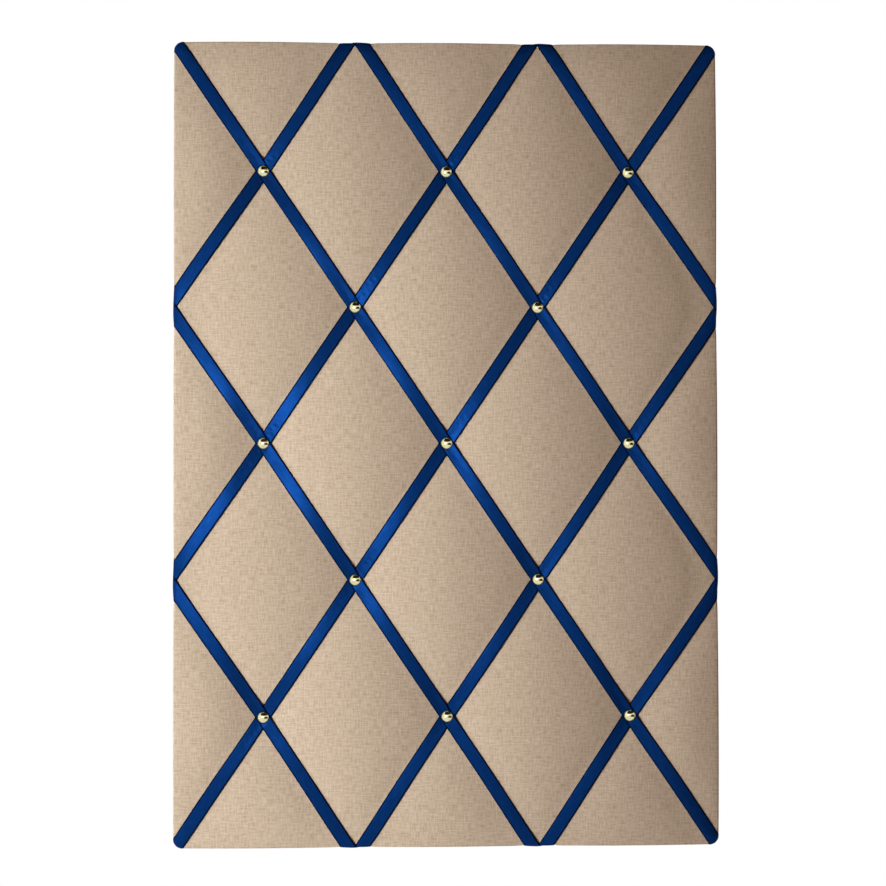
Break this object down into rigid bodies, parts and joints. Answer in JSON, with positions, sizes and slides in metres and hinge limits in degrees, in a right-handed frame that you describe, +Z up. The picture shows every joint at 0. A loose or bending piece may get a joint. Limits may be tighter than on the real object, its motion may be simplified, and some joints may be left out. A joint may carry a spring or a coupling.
{
  "type": "french memo board",
  "caption": "Padded fabric memo board with a diamond lattice of satin ribbons held down by domed studs, and ring hangers on its back.",
  "frame": {"origin": "centre of the back, in the plane of the fabric hem", "axes": "+Z up the board, +X to the right seen from the front, -Y out of the padded front, +Y to the wall"},
  "size_m": [0.4032, 0.0263, 0.5962],
  "materials": {
    "linen": "beige linen-look cloth, plain weave",
    "wadding": "white polyester wadding",
    "fibreboard": "bare medium-density fibreboard",
    "satin": "royal-blue satin ribbon",
    "brass": "polished brass plate",
    "steel": "bright zinc-plated steel",
    "felt": "dark felt"
  },
  "bodies": {
    "board": {"core_board": "fibreboard", "padding": "wadding", "fabric_cover": "linen", "ribbon_rising_1": "satin", "ribbon_rising_2": "satin", "ribbon_rising_3": "satin", "ribbon_rising_4": "satin", "ribbon_rising_5": "satin", "ribbon_falling_1": "satin", "ribbon_falling_2": "satin", "ribbon_falling_3": "satin", "ribbon_falling_4": "satin", "ribbon_falling_5": "satin", "stud_01": "brass", "stud_02": "brass", "stud_03": "brass", "stud_04": "brass", "stud_05": "brass", "stud_06": "brass", "stud_07": "brass", "stud_08": "brass", "stud_09": "brass", "stud_10": "brass", "stud_11": "brass", "stud_12": "brass", "stud_13": "brass", "hanger_strap_left": "steel", "hanger_screw_left": "steel", "wall_bumper_left": "felt", "hanger_strap_right": "steel", "hanger_screw_right": "steel", "wall_bumper_right": "felt"},
    "left_ring": {"hanger_ring_left": "steel"},
    "right_ring": {"hanger_ring_right": "steel"}
  },
  "joints": [
    {"name": "left_ring_swing", "type": "hinge", "parent": "board", "child": "left_ring", "pos_m": [-0.1, 0.0015, 0.2365], "axis": [1, 0, 0], "range_deg": [0, 170]},
    {"name": "right_ring_swing", "type": "hinge", "parent": "board", "child": "right_ring", "pos_m": [0.1, 0.0015, 0.2365], "axis": [1, 0, 0], "range_deg": [0, 170]}
  ]
}
